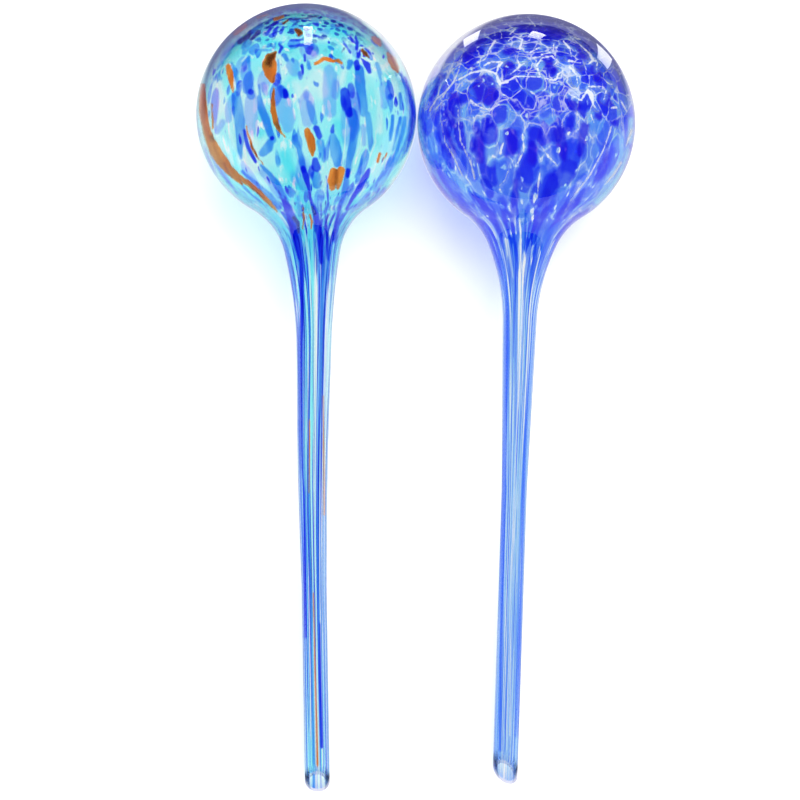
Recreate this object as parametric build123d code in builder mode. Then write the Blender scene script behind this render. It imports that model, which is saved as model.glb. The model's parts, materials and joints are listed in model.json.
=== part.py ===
from build123d import *
from dataclasses import dataclass
from math import acos, asin, atan, cos, degrees, hypot, pi, radians, sin, sqrt, tan
import os

# A pair of hand-blown watering globes, lying side by side on their bulbs and stem tips.
# Each globe is a hollow bulb drawn out into a long open stem. Its wall is an inner glass, chips and
# threads of coloured glass picked up on that, and a clear casing gathered over them.
# The frame is in millimetres: +Z is up, +Y runs from the stem tips to the bulbs, +X runs from the
# turquoise globe to the cobalt one, and the origin is on the table under the middle of the pair.

# The wall's layers, from the outside in
casing_wall = 0.6
colour_layer = 0.4
inner_wall = 0.8
fuse_clearance = 0.02  # between a chip or thread and the glass on each side of it

# The stem, which both globes share
stem_radius = 5.2
clear_end = 3.0  # bare glass between the colour's end and the near lip of the mouth

# The turquoise globe's outline. Curves are radii, and slopes, slants and turns are degrees.
turquoise_bulb_radius = 44.0
turquoise_reach = 282.0  # from the bulb's centre to the far lip of the mouth
turquoise_neck_radius = 7.1
turquoise_throat_curve = 26.0
turquoise_neck_curve = 215.0
turquoise_throat_slope = 11.5
turquoise_taper_slope = 1.1
turquoise_mouth_slant = 50.0
turquoise_mouth_turn = 0.0
turquoise_heading = 0.6

# The cobalt globe's outline
cobalt_bulb_radius = 43.6
cobalt_reach = 275.0
cobalt_neck_radius = 6.9
cobalt_throat_curve = 27.0
cobalt_neck_curve = 81.0
cobalt_throat_slope = 23.9
cobalt_taper_slope = 1.4
cobalt_mouth_slant = 53.0
cobalt_mouth_turn = 22.0
cobalt_heading = -1.4

# How the two lie
bulb_gap = 0.3
bulb_stagger = 3.6  # the cobalt bulb lies this much nearer to the stem tips

# Chips on the bulbs
turquoise_chip_count = 73
cobalt_chip_count = 122
turquoise_chip_shares = (0.76, 0.5)  # length and width, of the way from one chip to the next
cobalt_chip_shares = (0.74, 0.68)
chip_zone = (9.0, 116.0)  # degrees from the bulb's top
golden_angle = 137.508
shard_turns = (0, 52, 118, 171, 233, 301)  # degrees round a chip to its corners
shard_shares = (1.0, 0.9, 0.96, 1.0, 0.88, 0.97)  # of the chip's half size, at each corner

# Threads down the throat and the stem
thread_count = 16
thread_width_share = 0.56  # of the way from one thread to the next
thread_starts = (124.0, 132.0, 128.0)  # degrees from the bulb's top, in turn

# The turquoise globe's amber chips, as degrees from the bulb's top and round from above toward -X
amber_spots = (
    (35, 5),
    (58, 24),
    (65, 51),
    (56, -15),
    (52, -42),
    (86, 57),
    (106, 50),
    (98, -1),
    (73, 78),
    (48, 150),
    (80, -140),
    (101, 172),
    (64, -100),
)

# The other colours, dealt out in turn
turquoise_chip_cycle = ("azure", "cobalt", "azure", "white", "azure", "cobalt", "azure")
turquoise_thread_cycle = (
    ("cobalt", "azure", "aqua", "cobalt", "azure", "amber", "azure", "cobalt")
    + ("aqua", "azure", "aqua", "cobalt", "azure", "aqua", "cobalt", "azure")
)
cobalt_chip_cycle = (
    ("ultramarine", "ultramarine", "azure", "ultramarine", "ultramarine", "white")
    + ("ultramarine", "azure", "ultramarine", "ultramarine", "ultramarine")
)
cobalt_thread_cycle = ("ultramarine", "azure", "ultramarine", "white", "azure", "ultramarine", "azure")


@dataclass
class Globe:
    """One globe's sizes, with the outline and the planes that follow from them."""

    name: str
    bulb_radius: float
    reach: float
    neck_radius: float
    throat_curve: float
    neck_curve: float
    throat_slope: float  # degrees, where the throat's curve hands over to the neck's
    taper_slope: float  # degrees, of the long taper below the neck
    mouth_slant: float  # degrees, of the slanted cut
    mouth_turn: float  # degrees round the stem from the top toward -X, where the mouth faces
    heading: float  # degrees that the stem points toward +X

    def place(self, x, y):
        """Set the bulb's centre over a point of the table and tip the stem down until it rests."""
        turn = radians(self.heading)
        self.down = Vector(sin(turn) * cos(self.tilt), -cos(turn) * cos(self.tilt), -sin(self.tilt))
        self.side = Vector(-cos(turn), -sin(turn), 0)
        self.centre = Vector(x, y, self.bulb_radius)
        self.section = Plane(origin=self.centre, x_dir=self.down, z_dir=self.side)
        self.axis = Axis(self.centre, self.down)

    @property
    def tilt(self):
        """How far the axis leans down to the table, in radians, with the bulb and the lip on it."""
        slant = tan(radians(self.mouth_slant))
        under = self.reach - stem_radius * slant * (1 - cos(radians(self.mouth_turn)))
        return asin(self.bulb_radius / hypot(under, stem_radius)) - atan(stem_radius / under)

    @property
    def length_on_table(self):
        """From the bulb's top to the far lip, along the table."""
        return self.bulb_radius + self.reach * cos(self.tilt) - stem_radius * sin(self.tilt)

    @property
    def shoulder(self):
        """Degrees off the axis at which the round of the bulb turns into the throat."""
        drop = cos(radians(self.taper_slope)) - cos(radians(self.throat_slope))
        handover = self.neck_radius + self.neck_curve * drop
        centre = handover + self.throat_curve * cos(radians(self.throat_slope))
        return degrees(asin(centre / (self.bulb_radius + self.throat_curve)))

    @property
    def colour_end(self):
        """How far from the bulb's centre the colour stops, short of the mouth's near lip."""
        return self.reach - 2 * stem_radius * tan(radians(self.mouth_slant)) - clear_end

    @property
    def taper_end(self):
        """How far from the bulb's centre the stem becomes a plain tube."""
        neck_end = self.curve_centres()[1][0] - self.neck_curve * sin(radians(self.taper_slope))
        return neck_end + (self.neck_radius - stem_radius) / tan(radians(self.taper_slope))

    def curve_centres(self):
        """The centres of the throat's and the neck's curves: (along the axis, off the axis)."""
        far = self.bulb_radius + self.throat_curve
        turn = radians(self.shoulder)
        throat = (far * cos(turn), far * sin(turn))
        step = self.neck_curve - self.throat_curve
        slope = radians(self.throat_slope)
        return throat, (throat[0] + step * sin(slope), throat[1] + step * cos(slope))

    def skin(self, depth, start, stop):
        """Draw the wall's line at a depth under its outside, from a place on the bulb to one on the stem.

        start is in degrees from the bulb's top, and stop is a distance from the bulb's centre."""
        throat, neck = self.curve_centres()
        straight = stem_radius - depth
        taper = radians(self.taper_slope)
        neck_curve = self.neck_curve + depth
        neck_end = (neck[0] - neck_curve * sin(taper), neck[1] - neck_curve * cos(taper))
        tube = (neck_end[0] + (neck_end[1] - straight) / tan(taper), straight)
        CenterArc((0, 0), self.bulb_radius - depth, 180 - start, self.shoulder + start - 180)
        CenterArc(throat, self.throat_curve + depth, 180 + self.shoulder, 90 - self.throat_slope - self.shoulder)
        CenterArc(neck, neck_curve, 270 - self.throat_slope, self.throat_slope - self.taper_slope)
        Line(neck_end, tube)
        Line(tube, (stop, straight))

    def on_bulb(self, depth, fall):
        """A point of the section at a depth under the bulb's outside, fall degrees from its top."""
        radius = self.bulb_radius - depth
        return (-radius * cos(radians(fall)), radius * sin(radians(fall)))

    def band(self, outer, inner, start, stop):
        """Draw the closed outline of a layer between two depths."""
        self.skin(outer, start, stop)
        Line((stop, stem_radius - outer), (stop, stem_radius - inner))
        self.skin(inner, start, stop)
        Line(self.on_bulb(inner, start), self.on_bulb(outer, start))

    def section_at(self, azimuth):
        """The plane through the axis at some degrees round it from the top, toward -X."""
        turn = radians(azimuth)
        normal = self.side * cos(turn) - self.section.y_dir * sin(turn)
        return Plane(origin=self.centre, x_dir=self.down, z_dir=normal)

    def neck_plane(self):
        """The plane across the axis where the throat hands over to the neck."""
        throat = self.curve_centres()[0]
        handover = throat[0] - self.throat_curve * sin(radians(self.throat_slope))
        return Plane(origin=self.centre + self.down * handover, z_dir=self.down)

    def mouth_plane(self):
        """The slanted cut across the stem, facing out of the mouth."""
        turn = radians(self.mouth_turn)
        slant = radians(self.mouth_slant)
        up = self.section.y_dir * cos(turn) + self.side * sin(turn)
        middle = self.centre + self.down * (self.reach - stem_radius * tan(slant))
        return Plane(origin=middle, z_dir=self.down * cos(slant) + up * sin(slant))

    def chip_plane(self, fall, azimuth):
        """The plane that touches the middle of the colour layer at a place on the bulb."""
        side = radians(azimuth)
        drop = radians(fall)
        out = self.section.y_dir * cos(side) + self.side * sin(side)
        normal = out * sin(drop) - self.down * cos(drop)
        along = out * cos(drop) + self.down * sin(drop)
        depth = casing_wall + colour_layer / 2
        return Plane(origin=self.centre + normal * (self.bulb_radius - depth), x_dir=along, z_dir=normal)


# Where each globe lies
turquoise = Globe(
    "turquoise",
    turquoise_bulb_radius,
    turquoise_reach,
    turquoise_neck_radius,
    turquoise_throat_curve,
    turquoise_neck_curve,
    turquoise_throat_slope,
    turquoise_taper_slope,
    turquoise_mouth_slant,
    turquoise_mouth_turn,
    turquoise_heading,
)
cobalt = Globe(
    "cobalt",
    cobalt_bulb_radius,
    cobalt_reach,
    cobalt_neck_radius,
    cobalt_throat_curve,
    cobalt_neck_curve,
    cobalt_throat_slope,
    cobalt_taper_slope,
    cobalt_mouth_slant,
    cobalt_mouth_turn,
    cobalt_heading,
)
centres_apart = turquoise_bulb_radius + cobalt_bulb_radius + bulb_gap
rise = cobalt_bulb_radius - turquoise_bulb_radius
across = sqrt(centres_apart**2 - bulb_stagger**2 - rise**2)
pair_width = turquoise_bulb_radius + across + cobalt_bulb_radius
turquoise_x = turquoise_bulb_radius - pair_width / 2
turquoise_y = turquoise.length_on_table / 2 - turquoise_bulb_radius
turquoise.place(turquoise_x, turquoise_y)
cobalt.place(turquoise_x + across, turquoise_y - bulb_stagger)


def save(part, name):
    """Label a finished piece and write it out under its name."""
    part.label = name
    export_step(part, f"parts/{name}.step")


def inner_outline(globe):
    """Draw the blown inner glass, which is hollow from the bulb to the mouth."""
    outer = casing_wall + colour_layer
    globe.band(outer, outer + inner_wall, 0, globe.reach)


def casing_outline(globe):
    """Draw the clear outer gather, which closes on the inner glass below the colour's end."""
    seat = stem_radius - casing_wall - colour_layer
    globe.skin(0, 0, globe.reach)
    Line((globe.reach, stem_radius), (globe.reach, seat))
    Line((globe.reach, seat), (globe.colour_end, seat))
    Line((globe.colour_end, seat), (globe.colour_end, stem_radius - casing_wall))
    globe.skin(casing_wall, 0, globe.colour_end)
    Line(globe.on_bulb(casing_wall, 0), globe.on_bulb(0, 0))


def glass_layer(globe, layer, outline):
    """One clear layer, as its bulb with the throat and its stem with the slanted mouth."""
    for half, side in (("bulb", Keep.BOTTOM), ("stem", Keep.TOP)):
        with BuildPart() as glass:
            with BuildSketch(globe.section):
                with BuildLine():
                    outline(globe)
                make_face()
            revolve(axis=globe.axis)
            split(bisect_by=globe.mouth_plane(), keep=Keep.BOTTOM)
            split(bisect_by=globe.neck_plane(), keep=side)
        save(glass.part, f"{globe.name}_{layer}_{half}")


def chip_places(count):
    """Even places over the bulb's chip zone, as (degrees from the top, degrees round the axis)."""
    top, bottom = (cos(radians(fall)) for fall in chip_zone)
    for i in range(count):
        height = top + (bottom - top) * (i + 0.5) / count
        yield degrees(acos(height)), i * golden_angle


def chip_pitch(globe, count):
    """How far it is from one even place to the next."""
    top, bottom = (cos(radians(fall)) for fall in chip_zone)
    return globe.bulb_radius * sqrt(2 * pi * (top - bottom) / count)


def clear_of(globe, place, spots, pitch):
    """Is a place a whole pitch away from every spot?"""
    here = globe.chip_plane(*place).origin
    return all((globe.chip_plane(*spot).origin - here).length > pitch for spot in spots)


def dealt(places, cycle):
    """The places that each colour of a cycle gets."""
    hands = {colour: [] for colour in cycle}
    for i, place in enumerate(places):
        hands[cycle[i % len(cycle)]].append(place)
    return hands


def chips(globe, colour, places, width, length):
    """One colour's chips: shards as thick as the colour layer, curved with the bulb."""
    outer = casing_wall + fuse_clearance
    inner = casing_wall + colour_layer - fuse_clearance
    sag = globe.bulb_radius - sqrt(globe.bulb_radius**2 - (length / 2) ** 2)
    with BuildPart() as shards:
        for fall, azimuth in places:
            corners = [
                (length / 2 * share * cos(radians(turn)), width / 2 * share * sin(radians(turn)))
                for turn, share in zip(shard_turns, shard_shares)
            ]
            with BuildSketch(globe.chip_plane(fall, azimuth)):
                with BuildLine():
                    Polyline(*corners, close=True)
                make_face()
        extrude(amount=sag + colour_layer, both=True)
        with BuildSketch(globe.section):
            with BuildLine():
                globe.band(outer, inner, 0, globe.colour_end)
            make_face()
        revolve(axis=globe.axis, mode=Mode.INTERSECT)
    save(shards.part, f"{globe.name}_{colour}_chips")


def threads(globe, colour, numbers):
    """One colour's threads: chips that were drawn out down the throat and along the stem."""
    outer = casing_wall + fuse_clearance
    inner = casing_wall + colour_layer - fuse_clearance
    stop = globe.colour_end - fuse_clearance
    step = 360 / thread_count
    width = step * thread_width_share
    with BuildPart() as strands:
        for number in numbers:
            start = thread_starts[number % len(thread_starts)]
            with BuildSketch(globe.section_at(number * step - width / 2)):
                with BuildLine():
                    globe.band(outer, inner, start, stop)
                make_face()
            revolve(axis=globe.axis, revolution_arc=width)
    save(strands.part, f"{globe.name}_{colour}_threads")


def make_globe(globe, count, chip_shares, chip_cycle, thread_cycle, spots=()):
    """Every piece of one globe: its two glass layers, then the chips and threads between them."""
    glass_layer(globe, "inner", inner_outline)
    glass_layer(globe, "casing", casing_outline)
    pitch = chip_pitch(globe, count)
    length, width = (pitch * share for share in chip_shares)
    places = [place for place in chip_places(count) if clear_of(globe, place, spots, pitch)]
    for colour, picked in dealt(places, chip_cycle).items():
        chips(globe, colour, picked, width, length)
    if spots:
        chips(globe, "amber", spots, width, length)
    for colour, picked in dealt(range(thread_count), thread_cycle).items():
        threads(globe, colour, picked)


os.makedirs("parts", exist_ok=True)
make_globe(
    turquoise,
    turquoise_chip_count,
    turquoise_chip_shares,
    turquoise_chip_cycle,
    turquoise_thread_cycle,
    amber_spots,
)
make_globe(cobalt, cobalt_chip_count, cobalt_chip_shares, cobalt_chip_cycle, cobalt_thread_cycle)
for globe in (turquoise, cobalt):
    print(globe.name, "centre", globe.centre, "axis", globe.down, "tilt", degrees(globe.tilt))
    print(globe.name, "tube from", globe.taper_end, "to", globe.reach, "colour ends", globe.colour_end)
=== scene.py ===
import json
from math import asin, cos, hypot, pi, radians, sin, sqrt, tan

import bpy
import numpy as np
from mathutils import Matrix, Vector

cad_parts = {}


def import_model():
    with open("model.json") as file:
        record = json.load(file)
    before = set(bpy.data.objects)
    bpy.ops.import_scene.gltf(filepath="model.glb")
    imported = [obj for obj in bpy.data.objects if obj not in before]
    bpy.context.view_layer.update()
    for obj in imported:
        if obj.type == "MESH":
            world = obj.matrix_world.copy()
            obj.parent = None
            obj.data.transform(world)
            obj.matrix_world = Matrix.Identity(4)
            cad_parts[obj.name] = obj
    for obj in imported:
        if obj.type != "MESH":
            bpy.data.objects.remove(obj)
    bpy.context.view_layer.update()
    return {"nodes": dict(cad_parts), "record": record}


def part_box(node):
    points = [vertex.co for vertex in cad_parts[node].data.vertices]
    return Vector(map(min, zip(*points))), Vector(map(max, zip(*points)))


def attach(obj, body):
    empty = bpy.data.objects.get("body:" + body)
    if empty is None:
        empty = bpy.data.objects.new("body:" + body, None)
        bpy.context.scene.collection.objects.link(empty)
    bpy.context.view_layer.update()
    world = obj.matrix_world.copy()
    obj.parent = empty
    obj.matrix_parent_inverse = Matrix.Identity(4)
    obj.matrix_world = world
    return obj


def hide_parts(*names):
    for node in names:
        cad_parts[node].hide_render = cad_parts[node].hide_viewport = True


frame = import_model()

MM = 0.001
FAR_AWAY = 1e3
TINY = 1e-9  # in place of a division by zero

# The photograph's frame and camera
PHOTO = 800  # pixels across and down
FOCAL = 2140  # pixels
SENSOR = 36.0  # Blender's sensor width, in its own millimetres
CAMERA_HEIGHT = 0.9
BULB_PIXEL = (306.5, 115.0)  # the turquoise bulb's centre

# The wall's layers, from the outside in
STEM_RADIUS = 5.2 * MM
WALL = 1.8 * MM
COLOUR_OUTER = 0.62 * MM
COLOUR_INNER = 0.98 * MM
COLOUR_STOP = 0.7 * MM  # how far before the mouth the colour ends
LIP_BULGE_SHARE = 0.5
LIP_START = 2.4 * MM  # how far before the mouth the flame made the glass thinner

# Points round a ring, and rings down the bulb, throat, neck, taper, tube and lip
WALL_AROUND = 144
WALL_STEPS = (72, 30, 36, 10, 24)
COLOUR_AROUND = 320
COLOUR_STEPS = (200, 50, 50, 10, 30)
LIP_STEPS = 7
CROWDED_SHARE = 0.4  # how much closer the colour's points lie on top than at the sides

# Where a neck bows most, from the bulb's centre, and how long the bow is
BOW_PLACE = 76 * MM
BOW_LENGTH = 48 * MM

# The gather before it was blown and drawn
HOLD = 25.0 * MM  # the radius that the pattern keeps down the stem
CROWN_SHARE = 0.4  # how long the chips are at the bulb's top, against those at its middle
FOOT_SHARE = 1.2  # how much longer they are at its foot

# The lustre on the outer skin round the bulb's crown
LUSTRE_SHARE = 0.6
LUSTRE_FACING = (0.34, 0.66)  # how far from facing the eye it starts and is full
LUSTRE_ROUGHNESS = 0.04
EDGE_FACING = (0.64, 0.95)  # the same for the glass's darker edge
CROWN_ZONE = (0.05, 0.65)  # the shares of the bulb's radius above its middle where it starts and is full

# The glass
GLASS_IOR = 1.46
LET_THROUGH = 0.87  # the share of light that two clear walls don't mirror away
LIP_THIN_SHARE = 0.75  # how much of the lip shows the table without bending
RIPPLE_STRENGTH = 0.12
RIPPLE_DEPTH = 0.4 * MM

# The cobalt bulb's cells in the gather, the pale lines on them, and its pale spots, those round the bulb's
# middle being painted glow of light, in millimetres
CELL = 7.0
SEAM_HALF_SHARE = 0.02  # half a seam's width against a cell's
NET_TRIM = 0.06  # how much closer a line's edge lies than drawn
HALO_REACH = 0.9
HALO_SHARE = 0.45
GLOW_TRIM = 1.1  # how much closer a pale spot's edge lies than drawn
GLOW_SHARE = 0.75

# Where a zone of the pattern starts and is full, in bulb radii down the axis from the bulb's middle
LOWER_ZONE = (-0.3, 0.3)
STREAKY_ZONE = (0.25, 1.25)
SPARSE_ZONE = (4.4, 6.0)
SPARSE_SHARE = 0.3  # how much sparser the threads are in the last zone
DRAWN_ZONE = (0.85, 1.6)
THROAT_ZONE = (0.55, 0.85)
THROAT_END = (1.1, 1.6)
CAP_ZONE = (0.55, 0.80)  # up the axis
WILD_END = (0.6, 1.2)
WILD_FACING = (-0.05, 0.15)  # above this share of the radius, chips are drawn and not scattered

# The table, in metres from the frame's middle
TABLE_HALF = 3.0
TABLE_DROP = 0.3 * MM  # how far it lies under the globes
TABLE_SHADE = 0.85
TABLE_GLOW = 0.18
BACKDROP_FROM = (0.35, 0.8)  # where it fades into white
VEIL_FROM = (0.178, 0.205)  # where it turns grey in what the glass mirrors
ROOM_FROM = (0.285, 0.295)  # where it ends there
SIDEWAYS_SHARE = 0.4  # how much a step to the side counts there, against one away
WORLD_SOFT = 0.75  # the soft light all round

# How much of each kind of coloured glass is cloudy, and how much light a cloud lets through
CLEAR_CLOUD_SHARE = 0.04
AMBER_CLOUD_SHARE = 0.4
# the pale spots, partly painted glow of light
GLOW_CLOUD_SHARE = 0.28
SEAM_CLOUD_SHARE = 0.5
NET_CLOUD_SHARE = 0.75
CLOUD_THROUGH_SHARE = 0.25


class Globe:
    """One globe's outline and place, from the frame and the sizes that the outline needs."""

    def __init__(self, name, reach, neck_radius, throat, neck, throat_slope, taper_slope, slant, turn, bow):
        mount = next(m for m in frame["record"]["mounts"] if m["name"] == f"{name}_stem")
        low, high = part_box(f"{name}_casing_bulb")
        self.name = name
        self.radius = (high[2] - low[2]) / 2
        self.down = Vector(mount["axis"]).normalized()
        point = Vector(mount["pos_m"])
        self.centre = point + self.down * ((self.radius - point.z) / self.down.z)
        self.side = Vector((self.down.y, -self.down.x, 0)).normalized()
        self.up = self.side.cross(self.down)
        self.reach = reach
        self.throat = throat
        self.neck = neck
        self.throat_slope = radians(throat_slope)
        self.taper_slope = radians(taper_slope)
        self.slant = tan(radians(slant))
        self.turn = radians(turn)
        self.bow = bow
        handover = neck_radius + neck * (cos(self.taper_slope) - cos(self.throat_slope))
        centre = handover + throat * cos(self.throat_slope)
        self.shoulder = asin(centre / (self.radius + throat))

    def outline(self, depth, steps):
        """Points (along the axis, off it) down the wall at a depth, from the bulb's top to the tube."""
        far = self.radius + self.throat
        throat = np.array((far * cos(self.shoulder), far * sin(self.shoulder)))
        lean = np.array((sin(self.throat_slope), cos(self.throat_slope)))
        neck = throat + (self.neck - self.throat) * lean
        bulb = np.linspace(pi, self.shoulder, steps[0], endpoint=False)
        turn = np.linspace(self.shoulder, pi / 2 - self.throat_slope, steps[1], endpoint=False)
        bend = np.linspace(pi / 2 - self.throat_slope, pi / 2 - self.taper_slope, steps[2], endpoint=False)
        on_bulb = (self.radius - depth) * np.stack((np.cos(bulb), np.sin(bulb)), 1)
        on_throat = throat - (self.throat + depth) * np.stack((np.cos(turn), np.sin(turn)), 1)
        on_neck = neck - (self.neck + depth) * np.stack((np.cos(bend), np.sin(bend)), 1)
        last = neck - (self.neck + depth) * np.array((sin(self.taper_slope), cos(self.taper_slope)))
        straight = STEM_RADIUS - depth
        start = np.array((last[0] + (last[1] - straight) / tan(self.taper_slope), straight))
        shares = np.linspace(0, 1, steps[3], endpoint=False)[:, None]
        taper = last + (start - last) * shares
        return np.concatenate((on_bulb, on_throat, on_neck, taper, start[None]))

    def tip(self, radius, angles):
        """How far along the axis the slanted mouth lies, round a ring."""
        middle = self.reach - STEM_RADIUS * self.slant
        return middle - radius * self.slant * np.cos(angles - self.turn)

    def bent(self, along):
        """How far the neck, drawn by hand, bows to the side from a straight line."""
        bulge = np.exp(-(((along - BOW_PLACE) / BOW_LENGTH) ** 2))
        return self.bow * bulge * np.clip(2 * along / self.radius - 1, 0, 1)

    def placed(self, along, off, angles):
        """Points in the frame, from places along the axis, off it and round it."""
        out = np.cos(angles)[..., None] * np.array(self.up) + np.sin(angles)[..., None] * np.array(self.side)
        points = np.array(self.centre) + along[..., None] * np.array(self.down) + off[..., None] * out
        return points + self.bent(along)[..., None] * np.array(self.side)

    def unplaced(self, points):
        """Places along the axis, off it and round it, from points in the frame."""
        points = points - np.array(self.centre)
        along = points @ np.array(self.down)
        points = points - self.bent(along)[:, None] * np.array(self.side)
        out = points - along[:, None] * np.array(self.down)
        angle = np.arctan2(out @ np.array(self.side), out @ np.array(self.up))
        return along, np.linalg.norm(out, axis=1), angle


turquoise = Globe(
    "turquoise",
    reach=282 * MM,
    neck_radius=7.1 * MM,
    throat=26 * MM,
    neck=215 * MM,
    throat_slope=11.5,
    taper_slope=1.1,
    slant=50,
    turn=0,
    bow=-1.7 * MM,
)
cobalt = Globe(
    "cobalt",
    reach=275 * MM,
    neck_radius=6.9 * MM,
    throat=27 * MM,
    neck=81 * MM,
    throat_slope=23.9,
    taper_slope=1.4,
    slant=53,
    turn=22,
    bow=0.0,
)


def added(name, data):
    """A new piece of the scene, from its mesh, lamp or lens."""
    piece = bpy.data.objects.new(name, data)
    bpy.context.scene.collection.objects.link(piece)
    return piece


def skin_rings(globe, depth, stop, steps, angles):
    """Rings of points down one skin of the wall, to a stop before the slanted mouth."""
    line = globe.outline(depth, steps)
    along = np.repeat(line[:, :1], len(angles), 1)
    off = np.repeat(line[:, 1:], len(angles), 1)
    shares = np.linspace(0, 1, steps[4] + 1)[1:, None]
    ends = globe.tip(STEM_RADIUS - depth, angles) - stop
    tube = along[-1] + (ends - along[-1]) * shares
    return np.concatenate((along, tube)), np.concatenate((off, np.full(tube.shape, line[-1, 1])))


def lip_rings(globe, outer, inner, stop, angles):
    """Rings that round the wall's end over, from its outer skin to its inner one."""
    middle = STEM_RADIUS - (outer + inner) / 2
    half = (inner - outer) / 2
    along, off = [], []
    for i in range(1, LIP_STEPS + 1):
        turn = pi * i / (LIP_STEPS + 1)
        radius = middle + half * cos(turn)
        along.append(globe.tip(radius, angles) + half * LIP_BULGE_SHARE * sin(turn) - stop)
        off.append(np.full(len(angles), radius))
    return np.array(along), np.array(off)


def closed_shell(name, globe, outer, inner, stop, around, steps, crowded):
    """A closed wall between two depths, which ends at a stop before the mouth.

    Its points can crowd together on the upper side."""
    even = np.linspace(0, 2 * pi, around, endpoint=False)
    angles = even - crowded * np.sin(even)
    front = skin_rings(globe, outer, stop, steps, angles)
    lip = lip_rings(globe, outer, inner, stop, angles)
    back = skin_rings(globe, inner, stop, steps, angles)
    along = np.concatenate((front[0], lip[0], back[0][::-1]))
    off = np.concatenate((front[1], lip[1], back[1][::-1]))
    points = globe.placed(along, off, np.broadcast_to(angles, along.shape))
    rows = len(along)
    vertices = np.concatenate((points[0, :1], points[1:-1].reshape(-1, 3), points[-1, :1]))
    last = len(vertices) - 1
    faces = []
    for i in range(around):
        j = (i + 1) % around
        faces.append((0, 1 + j, 1 + i))
        for row in range(rows - 3):
            a = 1 + row * around
            faces.append((a + i, a + j, a + around + j, a + around + i))
        a = 1 + (rows - 3) * around
        faces.append((last, a + i, a + j))
    mesh = bpy.data.meshes.new(name)
    mesh.from_pydata(vertices.tolist(), [], faces)
    mesh.polygons.foreach_set("use_smooth", [True] * len(mesh.polygons))
    return added(name, mesh), vertices


def store(piece, name, values):
    """Keep a number, or a vector, on every vertex."""
    kind, key = ("FLOAT_VECTOR", "vector") if values.ndim == 2 else ("FLOAT", "value")
    layer = piece.data.attributes.new(name, kind, "POINT")
    layer.data.foreach_set(key, values.astype(np.float32).ravel())


def rise(value, low, high):
    """0 below low and 1 above high, with a smooth rise between."""
    share = np.clip((value - low) / (high - low), 0, 1)
    return share * share * (3 - 2 * share)


def flow_field(globe, vertices, base, power):
    """Where each point's glass lay in the gather, in millimetres, before it was blown and drawn.

    Round the stem the gather keeps a radius of HOLD, so that as many chips go round it as round the
    throat. Along the axis the glass is drawn out by base at the bulb's middle, less at its crown, and
    more where it is thinner."""
    along, off, angle = globe.unplaced(vertices)
    line = globe.outline(COLOUR_OUTER, COLOUR_STEPS)
    line = np.concatenate((line, [[globe.reach, line[-1, 1]]]))
    steps = np.linalg.norm(np.diff(line, axis=0), axis=1)
    middle = (line[1:, 1] + line[:-1, 1]) / 2
    down = (line[1:, 0] + line[:-1, 0]) / 2 / globe.radius
    above = np.clip(-down, 0, 1)
    below = np.clip(down, 0, 1)
    thinner = below * ((globe.radius / middle) ** power + FOOT_SHARE * below)
    drawn = base * (1 - (1 - CROWN_SHARE) * above + thinner)
    height = np.concatenate(([0], np.cumsum(steps / drawn)))
    depth = np.interp(along, line[:, 0], height)
    held = np.sqrt(off**2 + (HOLD * np.clip(along / globe.radius, 0, 1)) ** 2)
    return np.stack((held * np.cos(angle), held * np.sin(angle), depth), 1) / MM


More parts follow.
